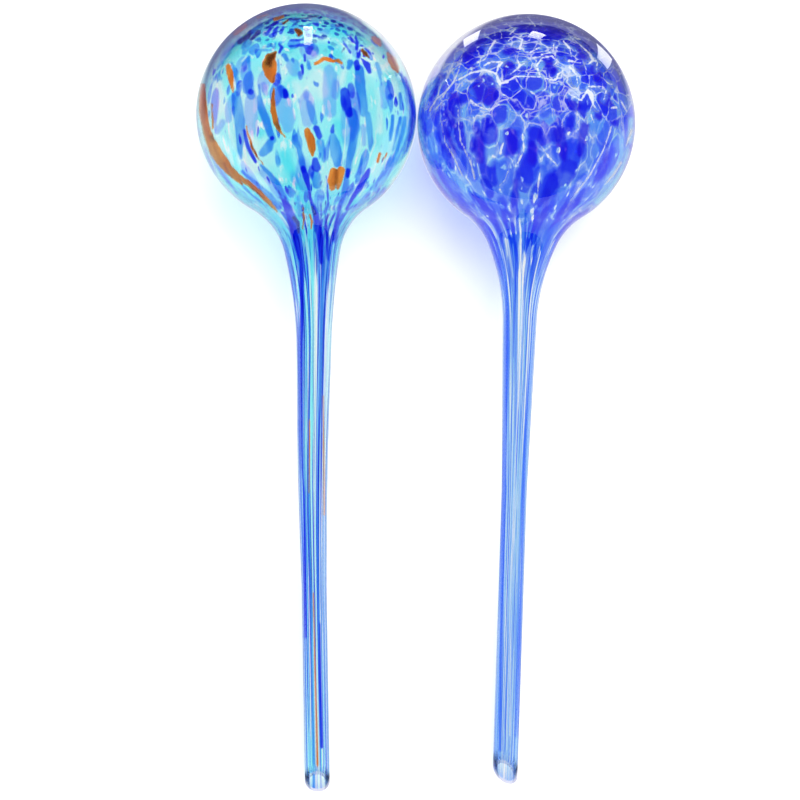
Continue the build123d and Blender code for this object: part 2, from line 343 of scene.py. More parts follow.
class Graph:
    """A material's or world's nodes. Each call adds a node and returns what it gives."""

    def __init__(self, owner):
        owner.use_nodes = True
        self.tree = owner.node_tree
        self.tree.nodes.clear()

    def node(self, kind, inputs, **settings):
        node = self.tree.nodes.new(kind)
        for key, value in settings.items():
            setattr(node, key, value)
        for key, value in inputs.items():
            if isinstance(value, bpy.types.NodeSocket):
                self.tree.links.new(value, node.inputs[key])
            else:
                node.inputs[key].default_value = value
        return node

    def field(self, name):
        return self.node("ShaderNodeAttribute", {}, attribute_name=name).outputs["Fac"]

    def flow(self):
        return self.node("ShaderNodeAttribute", {}, attribute_name="flow").outputs["Vector"]

    def maths(self, operation, a, b=0.0):
        return self.node("ShaderNodeMath", {0: a, 1: b}, operation=operation).outputs[0]

    def times(self, a, b):
        return self.maths("MULTIPLY", a, b)

    def less(self, a, b):
        return self.maths("SUBTRACT", a, b)

    def most(self, a, b):
        return self.maths("MAXIMUM", a, b)

    def vector(self, operation, a, b):
        return self.node("ShaderNodeVectorMath", {0: a, 1: b}, operation=operation).outputs[0]

    def step(self, value, low, high):
        """0 below low and 1 above high, with a smooth rise between."""
        inputs = {"Value": value, "From Min": low, "From Max": high}
        return self.node("ShaderNodeMapRange", inputs, interpolation_type="SMOOTHSTEP").outputs[0]

    def inside(self, distance, soft):
        """1 where a distance is below zero, with a soft edge."""
        return self.less(1.0, self.step(distance, -soft, soft))

    def remap(self, value, low, high):
        """A value from 0 to 1, spread from low to high."""
        return self.node("ShaderNodeMapRange", {"Value": value, "To Min": low, "To Max": high}).outputs[0]

    def mix(self, share, a, b):
        return self.node("ShaderNodeMix", {0: share, 6: a, 7: b}, data_type="RGBA").outputs[2]

    def level(self, share, a, b):
        return self.node("ShaderNodeMix", {0: share, 2: a, 3: b}).outputs[0]

    def stain(self, share, a, b):
        """A colour seen through another, where share is 1."""
        inputs = {0: share, 6: a, 7: b}
        return self.node("ShaderNodeMix", inputs, data_type="RGBA", blend_type="MULTIPLY").outputs[2]

    def bands(self, value, tones):
        """A tone for each stretch of a value, from (start, tone) pairs."""
        node = self.node("ShaderNodeValToRGB", {"Fac": value})
        node.color_ramp.interpolation = "CONSTANT"
        marks = node.color_ramp.elements
        for index, (start, tone) in enumerate(tones):
            mark = marks[index] if index < 2 else marks.new(start)
            mark.position = start
            mark.color = tone
        return node.outputs["Color"]

    def noise(self, vector, scale, detail=2.0):
        return self.node("ShaderNodeTexNoise", {"Vector": vector, "Scale": scale, "Detail": detail})

    def voronoi(self, vector, scale, feature="F1"):
        return self.node("ShaderNodeTexVoronoi", {"Vector": vector, "Scale": scale}, feature=feature)

    def warped(self, vector, scale, amount):
        """A vector pushed about by a slow noise."""
        wobble = self.noise(vector, scale).outputs[1]
        centred = self.vector("SUBTRACT", wobble, (0.5, 0.5, 0.5))
        push = self.vector("MULTIPLY", centred, (amount, amount, amount))
        return self.vector("ADD", vector, push)

    def frayed(self, distance, vector, scale, amount):
        """A distance made uneven by a noise."""
        noise = self.noise(vector, scale, detail=3.0).outputs[0]
        return self.maths("ADD", distance, self.remap(noise, -amount, amount))

    def front(self):
        """1 where a surface is seen from outside its piece."""
        return self.less(1.0, self.node("ShaderNodeNewGeometry", {}).outputs["Backfacing"])

    def emission(self, tone, strength=1.0):
        return self.node("ShaderNodeEmission", {"Color": tone, "Strength": strength}).outputs[0]

    def transparent(self, tone):
        return self.node("ShaderNodeBsdfTransparent", {"Color": tone}).outputs[0]

    def split(self, colour):
        return self.node("ShaderNodeSeparateColor", {0: colour}).outputs

    def blend(self, share, a, b):
        return self.node("ShaderNodeMixShader", {0: share, 1: a, 2: b}).outputs[0]

    def finish(self, shader, kind="ShaderNodeOutputMaterial"):
        self.tree.links.new(shader, self.node(kind, {}).inputs["Surface"])


def seen(red, green, blue):
    """A colour as a display shows it, from 0 to 255, in the linear values that shaders use."""
    shown = [value / 255 for value in (red, green, blue)]
    return [v / 12.92 if v <= 0.04045 else ((v + 0.055) / 1.055) ** 2.4 for v in shown]


def colour(red, green, blue):
    return (*seen(red, green, blue), 1.0)


def one_wall(red, green, blue):
    """The tint of one wall, where two walls one behind the other show a colour against white."""
    return (*[sqrt(min(value / LET_THROUGH, 1.0)) for value in seen(red, green, blue)], 1.0)


def over(ground, red, green, blue):
    """The stain on one wall, where it and two walls of the ground show a colour against white."""
    return (*[min(a / b, 1.0) for a, b in zip(seen(red, green, blue), seen(*ground))], 1.0)


def tint(red, green, blue):
    return (red, green, blue, 1.0)


AQUA = (172, 238, 250)  # what two walls of the turquoise globe's ground show
WHITE = tint(1, 1, 1)
VEIL = tint(0.19, 0.19, 0.36)  # the table's far end, as the glass mirrors it
ROOM = tint(0.04, 0.035, 0.08)  # the dark room beyond it
EDGE = tint(0.34, 0.42, 0.66)  # clear glass at its edge
LIP = tint(0.8, 0.8, 0.9)  # clear glass where the flame rounded the mouth


def clear_glass(name):
    """Polished clear glass that lets lamps shine through as real thin glass does.

    It is darker at its edges, where the eye looks through more of it. The crown has a lustre as
    well, which mirrors what is round it at a slant."""
    material = bpy.data.materials.new(name)
    g = Graph(material)
    ripple = g.noise(g.flow(), scale=0.10).outputs[0]
    bump = {"Height": ripple, "Strength": RIPPLE_STRENGTH, "Distance": RIPPLE_DEPTH}
    normal = g.node("ShaderNodeBump", bump).outputs[0]
    slant = g.node("ShaderNodeLayerWeight", {"Blend": 0.5}).outputs["Facing"]
    inputs = {
        "Base Color": g.mix(g.step(slant, *EDGE_FACING), WHITE, EDGE),
        "Roughness": 0.0,
        "IOR": GLASS_IOR,
        "Transmission Weight": 1.0,
        "Normal": normal,
    }
    glass = g.node("ShaderNodeBsdfPrincipled", inputs).outputs[0]
    shine = g.times(g.step(slant, *LUSTRE_FACING), g.times(g.front(), g.field("crown")))
    inputs = {"Color": WHITE, "Roughness": LUSTRE_ROUGHNESS, "Normal": normal}
    mirror = g.node("ShaderNodeBsdfAnisotropic", inputs).outputs[0]
    glass = g.blend(g.times(shine, LUSTRE_SHARE), glass, mirror)
    glass = g.blend(g.times(g.field("lip"), LIP_THIN_SHARE), glass, g.transparent(LIP))
    path = g.node("ShaderNodeLightPath", {}).outputs
    g.finish(g.blend(path["Is Shadow Ray"], glass, g.transparent(WHITE)))
    return material


def colour_shader(g, wall_tint, body, cover):
    """A layer of coloured glass, which tints what shines through. A share of it is cloudy.

    Its two surfaces tint light one after the other, so each takes the root of the wall's tint."""
    surface_tint = g.node("ShaderNodeGamma", {"Color": wall_tint, "Gamma": 0.5}).outputs[0]
    reflecting = g.node("ShaderNodeBsdfDiffuse", {"Color": body}).outputs[0]
    shining = g.node("ShaderNodeBsdfTranslucent", {"Color": body}).outputs[0]
    cloudy = g.blend(CLOUD_THROUGH_SHARE, reflecting, shining)
    g.finish(g.blend(g.times(cover, g.front()), g.transparent(surface_tint), cloudy))


def spots(g, flow, name, scale, amount, soft):
    """The drawn spots of a kind, with a soft uneven edge."""
    return g.inside(g.frayed(g.field(name), flow, scale, amount), soft)


def chips(g, vector, size, share, reach):
    """Rounded chips of a size in millimetres, in a share of the places where one could lie."""
    places = g.voronoi(vector, 1 / size)
    chosen = g.maths("LESS_THAN", g.split(places.outputs["Color"])[0], share)
    near = g.frayed(places.outputs["Distance"], vector, scale=1.2 / size, amount=0.10)
    return g.times(chosen, g.inside(g.less(near, reach), soft=0.03))


def streaks(g, flow, shift, scale, far, near):
    """Long threads, which cover more from the bulb's middle down to the stem."""
    noise = g.noise(g.vector("ADD", flow, shift), scale, detail=1.0).outputs[0]
    start = g.remap(g.field("streaky"), far, near)
    return g.inside(g.less(start, noise), soft=0.012)


def turquoise_colour():
    """Aqua glass with azure, cobalt and amber chips, which draw out into threads down the neck."""
    material = bpy.data.materials.new("turquoise_colour")
    g = Graph(material)
    flow = g.flow()
    ground = g.noise(flow, scale=0.06, detail=3.0).outputs[0]
    glass = g.mix(g.step(ground, low=0.37, high=0.61), one_wall(108, 230, 248), one_wall(192, 250, 255))
    teal = spots(g, flow, "teal", scale=0.2, amount=2.0, soft=1.8)
    glass = g.mix(teal, glass, one_wall(64, 214, 232))
    clear = spots(g, flow, "clear", scale=0.2, amount=1.5, soft=1.5)
    glass = g.mix(clear, glass, one_wall(230, 246, 252))
    gleam = streaks(g, flow, (3, 1, 8), scale=0.30, far=0.66, near=0.55)
    glass = g.mix(gleam, glass, one_wall(240, 254, 255))
    pale = spots(g, flow, "pale", scale=0.35, amount=0.8, soft=0.5)
    pale = g.most(pale, chips(g, flow, size=9.0, share=0.3, reach=0.42))
    glass = g.stain(pale, glass, over(AQUA, 142, 196, 250))
    depth = g.noise(flow, scale=0.12).outputs[0]
    azure = spots(g, flow, "azure", scale=0.35, amount=0.8, soft=0.45)
    azure = g.most(azure, streaks(g, flow, (7, 3, 0), scale=0.19, far=0.70, near=0.575))
    lighter = g.step(depth, low=0.38, high=0.62)
    glass = g.stain(azure, glass, g.mix(lighter, over(AQUA, 58, 138, 244), over(AQUA, 102, 182, 248)))
    azure_wild = chips(g, g.vector("ADD", flow, (4, 8, 2)), size=7.0, share=0.3, reach=0.42)
    glass = g.stain(g.times(azure_wild, g.field("wild")), glass, over(AQUA, 96, 164, 250))
    deep = spots(g, flow, "deep", scale=0.45, amount=0.6, soft=0.4)
    deep = g.most(deep, streaks(g, flow, (1, 9, 4), scale=0.26, far=0.74, near=0.66))
    lighter = g.step(depth, low=0.42, high=0.7)
    glass = g.stain(deep, glass, g.mix(lighter, over(AQUA, 42, 68, 238), over(AQUA, 74, 118, 246)))
    deep_wild = chips(g, g.vector("ADD", flow, (9, 1, 5)), size=5.0, share=0.16, reach=0.40)
    glass = g.stain(g.times(deep_wild, g.field("wild")), glass, over(AQUA, 74, 118, 246))
    fine = streaks(g, flow, (6, 4, 9), scale=0.62, far=0.82, near=0.64)
    glass = g.stain(fine, glass, over(AQUA, 50, 96, 214))
    glass = g.stain(g.field("throat"), glass, tint(0.72, 0.88, 0.96))
    small = chips(g, g.vector("ADD", flow, (2, 5, 1)), size=2.9, share=0.42, reach=0.44)
    glass = g.stain(g.times(small, g.field("cap")), glass, over(AQUA, 28, 86, 206))
    # Milk-white threads, and white marks round one amber chip that are painted highlights
    glass = g.mix(g.inside(g.field("milk"), soft=0.25), glass, tint(0.95, 0.99, 1.0))
    dark = spots(g, flow, "dark", scale=0.6, amount=0.4, soft=0.4)
    glass = g.mix(dark, glass, one_wall(20, 18, 110))
    amber = spots(g, flow, "amber", scale=0.8, amount=0.6, soft=0.3)
    rust = g.step(g.noise(flow, scale=0.22).outputs[0], low=0.4, high=0.62)
    amber_tint = g.mix(rust, colour(255, 156, 70), colour(236, 118, 44))
    burnt = spots(g, flow, "burnt", scale=0.6, amount=0.8, soft=1.4)
    glass = g.mix(amber, glass, g.mix(burnt, amber_tint, colour(112, 52, 20)))
    colour_shader(g, glass, glass, g.level(amber, CLEAR_CLOUD_SHARE, AMBER_CLOUD_SHARE))
    return material


def cobalt_colour():
    """Ultramarine cells with pale gaps between them, which draw out into threads down the neck."""
    material = bpy.data.materials.new("cobalt_colour")
    g = Graph(material)
    flow = g.flow()
    streaky = g.field("streaky")
    bent = g.warped(flow, scale=0.16, amount=3.0)
    cells = g.voronoi(bent, 1 / CELL)
    edges = g.voronoi(bent, 1 / CELL, feature="DISTANCE_TO_EDGE").outputs[0]
    tone = g.split(cells.outputs["Color"])[0]
    tones_above = (
        (0.0, one_wall(22, 26, 226)),
        (0.4, one_wall(38, 68, 250)),
        (0.8, one_wall(84, 144, 255)),
    )
    tones_below = (
        (0.0, one_wall(46, 102, 255)),
        (0.35, one_wall(68, 140, 255)),
        (0.72, one_wall(124, 192, 255)),
    )
    glass = g.mix(streaky, g.bands(tone, tones_above), g.bands(tone, tones_below))
    grain = g.step(g.noise(flow, scale=0.3, detail=3.0).outputs[0], low=0.45, high=0.75)
    glass = g.stain(grain, glass, tint(0.75, 0.8, 1.0))
    thread_tones = (
        (0.0, one_wall(54, 104, 250)),
        (0.40, one_wall(116, 176, 255)),
        (0.45, one_wall(178, 220, 255)),
        (0.48, one_wall(98, 158, 255)),
        (0.53, one_wall(236, 246, 255)),
        (0.56, one_wall(136, 196, 255)),
        (0.63, one_wall(54, 104, 250)),
    )
    threads = g.noise(flow, scale=0.22, detail=1.0).outputs[0]
    glass = g.mix(g.field("drawn"), glass, g.bands(threads, thread_tones))
    glass = g.stain(g.field("throat"), glass, tint(0.2, 0.4, 0.98))
    glass = g.stain(g.field("cap"), glass, tint(0.3, 0.2, 0.8))
    dark = spots(g, flow, "dark", scale=0.3, amount=0.8, soft=0.9)
    glass = g.mix(dark, glass, g.mix(streaky, one_wall(18, 6, 210), one_wall(28, 68, 255)))
    light = spots(g, flow, "light", scale=0.3, amount=0.8, soft=1.2)
    glass = g.mix(light, glass, one_wall(140, 206, 255))
    glass = g.mix(g.inside(g.field("thread"), soft=0.35), glass, one_wall(36, 78, 246))
    spread = g.frayed(cells.outputs["Distance"], flow, scale=0.5, amount=0.07)
    apart = g.times(g.step(spread, low=0.54, high=0.64), g.less(1.0, g.field("drawn")))
    apart = g.times(apart, g.remap(g.most(dark, light), low=0.85, high=0.1))
    glass = g.mix(apart, glass, g.mix(streaky, one_wall(96, 142, 255), one_wall(160, 206, 255)))
    upper = g.field("upper")
    seam = g.inside(g.frayed(g.less(edges, SEAM_HALF_SHARE), flow, scale=0.5, amount=0.06), soft=0.025)
    seam = g.times(seam, g.times(upper, g.remap(dark, low=0.8, high=0.2)))
    rim = g.less(g.step(spread, low=0.66, high=0.70), g.step(spread, low=0.72, high=0.77))
    core = g.most(g.times(rim, apart), seam)
    net_reach = g.frayed(g.field("net"), g.warped(flow, scale=0.4, amount=1.5), scale=0.8, amount=0.5)
    net = g.inside(g.maths("ADD", net_reach, NET_TRIM), soft=0.22)
    net = g.times(net, g.remap(streaky, low=1.0, high=0.5))
    halo = g.inside(g.less(net_reach, HALO_REACH), soft=1.0)
    glass = g.mix(g.times(halo, HALO_SHARE), glass, one_wall(150, 192, 255))
    white = g.most(core, net)
    # Pale spots with a cloudy white body; round the bulb's middle they are painted glow of light
    glow = g.frayed(g.maths("ADD", g.field("pale"), GLOW_TRIM), flow, scale=0.45, amount=1.2)
    pale = g.inside(glow, soft=1.3)
    glass = g.mix(g.times(pale, GLOW_SHARE), glass, tint(0.62, 0.74, 1.0))
    gleam = streaks(g, flow, (5, 2, 0), scale=0.30, far=0.70, near=0.585)
    glass = g.mix(g.most(white, gleam), glass, tint(0.96, 0.99, 1.0))
    body = g.mix(g.most(white, pale), glass, tint(0.95, 0.97, 1.0))
    cover = g.level(pale, CLEAR_CLOUD_SHARE, GLOW_CLOUD_SHARE)
    cover = g.level(g.times(core, upper), cover, SEAM_CLOUD_SHARE)
    colour_shader(g, glass, body, g.level(net, cover, NET_CLOUD_SHARE))
    return material


def pixel_ray(pixel):
    """The direction from the camera through a pixel of the photograph."""
    x, y = pixel
    return Vector((x - PHOTO / 2, PHOTO / 2 - y, -FOCAL)).normalized()


def camera_place():
    """Over the table, where the turquoise bulb's centre falls on its pixel."""
    ray = pixel_ray(BULB_PIXEL)
    place = turquoise.centre + ray * ((CAMERA_HEIGHT - turquoise.centre.z) / ray.z)
    return Vector((place.x, place.y, CAMERA_HEIGHT))


CAMERA = camera_place()


def spot_field(globe, vertices, chains):
    """How far each vertex on the upper side is outside the nearest spot, in millimetres.

    A spot is a chain of (x, y, half its width) in the photograph's pixels, as seen from over the table."""
    sight = np.array(CAMERA) - vertices
    across = PHOTO / 2 - FOCAL * sight[:, 0] / sight[:, 2]
    down = PHOTO / 2 + FOCAL * sight[:, 1] / sight[:, 2]
    places = np.stack((across, down), 1)
    along, off, angle = globe.unplaced(vertices)
    on_neck = along > globe.radius * cos(globe.shoulder)
    bulb_side = np.einsum("ij,ij->i", vertices - np.array(globe.centre), sight)
    upper = np.where(on_neck, np.cos(angle), bulb_side) > 0
    places = places[upper]
    nearest = np.full(len(places), FAR_AWAY)
    for chain in chains:
        marks = [(np.array((x, y)), half) for x, y, half in chain]
        for (a, half_a), (b, half_b) in zip(marks, marks[1:] or marks):
            run = b - a
            share = np.clip((places - a) @ run / max(run @ run, TINY), 0, 1)
            distance = np.hypot(*(places - a - share[:, None] * run).T) - (half_a + (half_b - half_a) * share)
            nearest = np.minimum(nearest, distance)
    field = np.full(len(vertices), FAR_AWAY)
    field[upper] = nearest * (CAMERA_HEIGHT - globe.centre.z) / FOCAL / MM
    return field


AMBER_SPOTS = (
    ((204, 86, 2.2), (204, 100, 3.6), (204.5, 112, 4), (206, 122, 3.4), (208.5, 132, 3.8), (212, 142, 4.6)),
    ((212, 142, 4.6), (216.5, 151, 5.6), (222.5, 160, 5.8), (229, 168, 4.6),
     (237, 177, 3.2), (243, 183.5, 1)),
    ((231, 168, 2.6), (240, 176.5, 2.2), (250, 183.5, 2.5), (260, 192, 2.3),
     (270, 202, 2), (277.5, 210.5, 0.7)),
    ((213, 104, 0.7), (214, 128, 1.0)),
    ((275.5, 53, 1.6), (270.5, 59, 5.4), (269.5, 66, 7.4), (270.5, 73, 6.2), (272.5, 80.5, 3)),
    ((229, 67, 2.8), (230.5, 74, 3.2), (232, 82, 2.5), (233.5, 92, 0.8)),
    ((274, 89, 0.8), (273, 100, 2.2), (273.5, 112, 3), (276, 122, 2.8), (280, 131, 1.8), (285.5, 137, 0.7)),
    ((307.5, 131, 3.3), (310.5, 140, 4.6), (312, 149, 3.6), (312.5, 155, 1.3)),
    ((333.5, 171.5, 4.3), (332.5, 180, 4.8), (332, 187, 3)),
    ((341, 170, 4), (339, 178, 3.8), (337.5, 187, 2)),
    ((247, 126, 0.7), (249, 136, 1), (252.5, 147, 1.4), (257, 156, 1.1), (263.5, 164, 0.6)),
    ((315.5, 64, 1.4), (319, 62, 1.8), (324, 58.8, 1.9), (329, 60, 2.1),
     (333, 61.5, 1.4), (338, 61, 1.8), (341.5, 63.5, 1.1)),
    ((361.5, 50.5, 1.5), (364.5, 54, 2.2), (368, 58, 0.8)),
    ((275, 20.5, 1.8), (283, 17.5, 1.6)),
    ((283, 24.5, 1), (288.5, 21.3, 1)),
    ((236, 34, 2.6), (246, 26.5, 2.2)),
    ((258, 18.4, 0.9), (268, 15.6, 0.9)),
    ((296.5, 31, 2.2), (300, 33, 2.8), (299, 36.5, 1.2)),
    ((373, 39, 2.3), (377, 42, 3.2), (379.5, 45.5, 1.6)),
    ((387, 54, 1.5), (391, 61, 3.8), (394.5, 68, 3.4), (396.5, 72.5, 1.1)),
    ((379.5, 153.5, 1.5), (377, 161, 1.3)),
    ((386, 153, 0.6), (382.5, 159.5, 0.6)),
    ((310, 214, 0.9), (312, 221, 1.1), (311, 228, 0.5)),
    ((303, 207, 0.6), (304, 216, 0.9), (303, 228, 0.5)),
    ((309.3, 412, 0.4), (309.5, 450, 0.7), (309, 495, 0.4)),
    ((322.7, 395, 0.4), (323, 440, 0.7), (323.5, 515, 0.4)),
    ((313.5, 590, 0.4), (315, 660, 0.7), (316.5, 720, 1.0), (317.5, 768, 1.2)),
)
BURNT_SPOTS = (
    ((276, 53, 1.8), (271, 58.5, 4.6), (269, 63, 4.2)),
    ((361.5, 50.5, 2), (364.5, 54, 3), (368, 58, 1.5)),
    ((283, 24.5, 1.5), (288.5, 21.3, 1.5)),
    ((296.5, 31, 3), (300, 33, 3.4), (299, 36.5, 2)),
    ((276.5, 124, 0.8), (279.5, 128, 0.8)),
    ((336.5, 169, 0.8), (335.5, 186, 0.7)),
    ((213, 136, 1.2), (215, 139, 1.2)),
    ((252, 145, 0.9), (259, 158, 0.7)),
)
PALE_SPOTS = (
    ((251, 100, 5), (251, 107, 4.6)),
    ((264, 85, 3), (266, 93, 3)),
    ((281, 92, 6), (284, 105, 8.5), (287, 118, 8.5), (288, 128, 5)),
    ((293, 66, 7), (294, 72, 5)),
    ((329, 70, 5), (329, 85, 6.5), (329, 100, 6.5), (330, 112, 6)),
    ((223.5, 122, 3), (218, 131, 3)),
    ((233, 98, 3.5), (229.5, 110, 4), (229, 120, 3)),
    ((363, 127, 2.4), (364, 144, 2.2)),
    ((384, 86, 5), (384, 105, 4)),
    ((298, 196, 2), (300, 214, 2)),
    ((262, 172, 3), (280, 196, 3)),
)
AZURE_SPOTS = (
    ((248.3, 43, 4.2), (246, 48.5, 4.2), (244.5, 54, 1.8)),
    ((261.5, 50.5, 1.1), (271, 50.7, 1.1)),
    ((276.5, 43, 1.1), (273.5, 48, 1.5)),
    ((232.5, 64, 1.3), (236, 73, 2.9), (238, 83, 2.2), (239, 90, 0.8)),
    ((249.5, 57, 1.4), (246.5, 66, 4.8), (247.5, 78, 5.6), (250, 90, 4.6), (251.5, 96, 4)),
    ((236.5, 96, 4.6), (238, 108, 5.5), (240, 120, 5.5), (241, 136, 4.8),
     (240.5, 150, 2.8), (241.5, 158, 1.3)),
    ((259.5, 98, 2.4), (262, 108, 3.8), (266, 119, 4.3), (270, 130, 3.8), (274, 140, 3.2)),
    ((278.5, 60, 1.0), (279, 72, 1.8), (279.5, 82, 1.7)),
    ((284, 56, 2.3), (287, 60, 2.6)),
    ((280, 88, 3.2), (284, 94, 4.6)),
    ((259.5, 85, 0.7), (260.5, 95, 0.8)),
    ((307.5, 60, 0.8), (309, 68, 2.2)),
    ((309, 103, 2.8), (312, 113, 4), (314, 122, 3)),
    ((350, 63, 3), (348.5, 68, 2.8)),
    ((359, 70, 4.4), (360, 85, 5.3), (362, 100, 5.2), (363.5, 113, 4)),
    ((376, 64, 2.3), (379, 74, 2.6), (381, 85, 1.1)),
    ((389.5, 97, 3),),
    ((399, 94, 1.8), (401, 108, 2.2)),
    ((272, 140, 3), (268, 147, 5), (263, 153, 4)),
    ((296, 134, 1.1), (298, 145, 2.8), (301, 158, 3.4), (303.5, 170, 3)),
    ((243, 171, 1.4), (252, 179, 2), (262, 188, 2.8), (271, 197, 3.3), (279, 206, 3.4)),
    ((262, 165, 1.4), (270, 174, 2.4), (277, 184, 3.2), (283, 195, 3.3), (288, 206, 3)),
    ((320, 142, 3.8), (322.5, 152, 3.6), (324, 161, 1.4)),
    ((332, 133, 1.8), (334, 143, 5.6), (336, 154, 6), (338, 163, 4)),
    ((351, 113, 5.6), (354.5, 128, 5.2), (352, 145, 4.2), (349, 160, 3.7),
     (347, 172, 2.8), (345.5, 185, 2.3)),
    ((367.5, 114, 2.8), (369, 128, 3), (370, 142, 3), (369, 150, 1)),
    ((316, 175, 5), (316.5, 184, 4.6)),
    ((359, 168, 1.4), (356, 176, 1.7)),
    ((392, 116, 1.8), (391, 130, 2), (389.5, 140, 1.3)),
    ((399, 118, 1.5), (396, 133, 1.7), (392, 150, 1.3)),
    ((404, 118, 1.8), (402, 132, 2.2), (396, 150, 2), (389, 165, 1.7), (382, 175, 1)),
    ((409, 120, 1.6), (407, 133, 1.6), (401, 150, 1.3)),
    ((383, 172, 1.8), (377, 180, 1.6), (370, 188, 1.4)),
    ((346.5, 180, 2.6), (343.5, 192, 2.6), (340, 205, 2.2), (336, 222, 2.2), (334, 240, 2.4)),
    ((218, 70, 1.2), (223, 63, 1.6)),
    ((253, 33, 2.6), (262, 25.5, 2.4)),
    ((270, 21, 1.8), (281, 15.5, 1.8)),
    ((288, 11.5, 1.5), (298, 9.5, 1.5)),
    ((305, 12.5, 1.3), (319, 13, 1.3)),
    ((400, 74, 1.2), (405, 88, 1.5)),
    ((225, 56, 1.2), (233, 46, 1.2)),
)
DEEP_SPOTS = (
    ((271, 26.5, 1.6), (277.5, 24, 1.7)),
    ((270.5, 29.5, 1.6), (267.5, 35, 1.8)),
    ((278, 28, 1.5), (275, 32, 2.2), (273, 36, 1.0)),
    ((283.3, 28.5, 1.5), (281, 33.5, 1.8)),
    ((279.5, 45, 1.1), (282, 48, 1.9), (279.5, 53, 1)),
    ((291, 41, 1.2), (303, 40.5, 0.9)),
    ((290, 47, 1.2), (303, 45.5, 1.6)),
    ((304.5, 55, 1), (305, 61, 1.1)),
    ((313, 35.5, 0.8), (318, 37, 0.9), (323, 39, 0.8)),
    ((313, 24.5, 1.2), (317.5, 25.5, 1.8)),
    ((343, 42, 0.9), (346, 47, 1.3), (350, 53, 1.1)),
    ((350, 37, 0.9), (352, 42, 1.3)),
    ((355, 38, 1.3), (357, 44, 2), (356, 49, 1.6)),
    ((360, 46, 1.1), (366, 50, 1.1), (370, 55, 0.9)),
    ((358.5, 51, 1.9), (358, 57, 1.8)),
    ((356, 63, 2.8), (357, 68, 2.9)),
    ((362, 59, 1.8), (367, 66, 3.3), (369, 72, 2.5)),
    ((344.5, 92, 4.6), (346, 104, 5), (349, 114, 3.6)),
    ((251, 92, 3),),
    ((285, 91, 2.8), (286, 96, 2.8)),
    ((404, 78, 1.2), (408, 92, 1.7), (411, 105, 1.9), (412.5, 118, 1.8)),
    ((413, 116, 1), (411, 128, 1.2), (407, 140, 0.9)),
    ((244.5, 130, 1.4), (247, 142, 2), (251, 153, 2), (256, 161, 1.6)),
    ((272.5, 138, 2.4),),
    ((316, 128, 3.3), (319.5, 136, 3.2)),
    ((315, 160, 2.8), (316, 167, 5)),
    ((303, 168, 2.6), (306, 176, 3.3), (308.5, 186, 2.4), (310, 196, 1)),
    ((333, 125, 1.3), (332, 131, 2.4)),
    ((368, 169, 1.8), (365, 176, 3.2), (359, 187, 3), (352, 197, 2), (346, 208, 1.4)),
    ((348, 170, 2.2), (347, 176, 1.8)),
    ((283, 199, 1.4), (288, 207, 3.8), (292, 218, 4.8), (296, 232, 5), (299, 246, 4.2), (302, 262, 2.5)),
    ((302, 262, 2.5), (302.5, 300, 1.8), (302, 340, 1.3), (302, 400, 0.9), (303, 470, 0.5)),
    ((305, 480, 0.5), (305.5, 560, 1.2), (306, 640, 0.8)),
    ((319.5, 620, 0.5), (320, 680, 1.2), (321.5, 747, 1.4)),
    ((310, 197, 1.5), (313, 206, 2.2), (316, 214, 2.6), (318, 226, 3.6), (320, 240, 3.2), (321, 262, 2)),
    ((326.5, 176, 0.7), (327.5, 190, 0.9), (328, 205, 0.7)),
    ((325.5, 215, 0.7), (326, 228, 1.4), (327, 240, 1.6), (327.5, 260, 1)),
    ((340, 205, 0.8), (335.5, 222, 1.1), (333, 240, 1)),
)
DARK_SPOTS = (
    ((240, 43, 2.2), (249, 37, 2.4)),
    ((252, 40, 1.6), (259, 33, 2.4)),
    ((290.5, 20.3, 0.6), (305, 19.5, 0.7), (318, 16.8, 0.8)),
    ((294, 217, 2), (298, 222, 2.2), (299, 232, 1.2)),
    ((312, 206, 0.8), (315, 213, 1.6)),
    ((344.5, 48, 0.5), (341.5, 52.5, 0.5)),
)
# Thin milk-white threads; the chains round the burnt amber chip at the bulb's upper right are painted glints
MILK_AND_GLINT_SPOTS = (
    ((275.5, 132.5, 0.4), (282, 136.5, 0.6), (290, 141, 0.6), (296, 149, 0.6), (298.5, 160, 0.4)),
    ((357.5, 52, 0.8), (359, 48.5, 0.8), (363.5, 48, 0.8)),
    ((361, 57.5, 0.9), (366, 60.5, 0.9), (370.5, 62, 1)),
    ((337.5, 76, 0.5), (337, 92, 0.7)),
    ((231, 60, 0.5), (224, 68, 0.4), (221, 76, 0.3)),
    ((247, 57, 0.5), (242, 62, 0.4)),
    ((383, 70, 0.5), (391, 80, 0.6), (393, 90, 0.4)),
    ((352, 52, 0.5), (350, 60, 0.5)),
    ((313, 68, 0.5), (316, 88, 0.5), (315, 100, 0.4)),
    ((326, 150, 0.4), (328, 168, 0.4)),
    ((346, 118, 0.4), (344, 150, 0.5), (341, 164, 0.4)),
    ((316, 255, 0.8), (315.5, 300, 2), (315, 360, 1.6), (315.5, 450, 1), (316, 520, 0.5)),
    ((309, 560, 0.4), (310, 640, 1), (311, 740, 0.6)),
    ((297.5, 270, 0.5), (297.5, 330, 0.8), (299, 420, 0.5)),
)
TEAL_SPOTS = (
    ((316, 48, 6), (332, 50, 9), (340, 56, 5)),
    ((290, 30, 6), (322, 28, 7), (342, 34, 7)),
    ((262, 40, 4), (288, 50, 6)),
    ((262, 112, 4), (260, 132, 6)),
    ((285, 155, 5), (300, 190, 6), (303, 215, 5)),
    ((388, 76, 4), (387, 84, 4)),
    ((265, 40, 5), (262, 33, 3)),
    ((338, 125, 5), (341, 140, 4)),
)
CLEAR_SPOTS = (
    ((216, 84, 6), (219, 105, 9), (224, 128, 8), (229, 146, 6)),
    ((243, 160, 5), (252, 168, 6)),
    ((318, 76, 7), (320, 92, 8)),
    ((345, 70, 3), (340, 84, 3)),
    ((296, 84, 4), (300, 96, 4)),
    ((378, 92, 3), (378, 130, 3)),
)
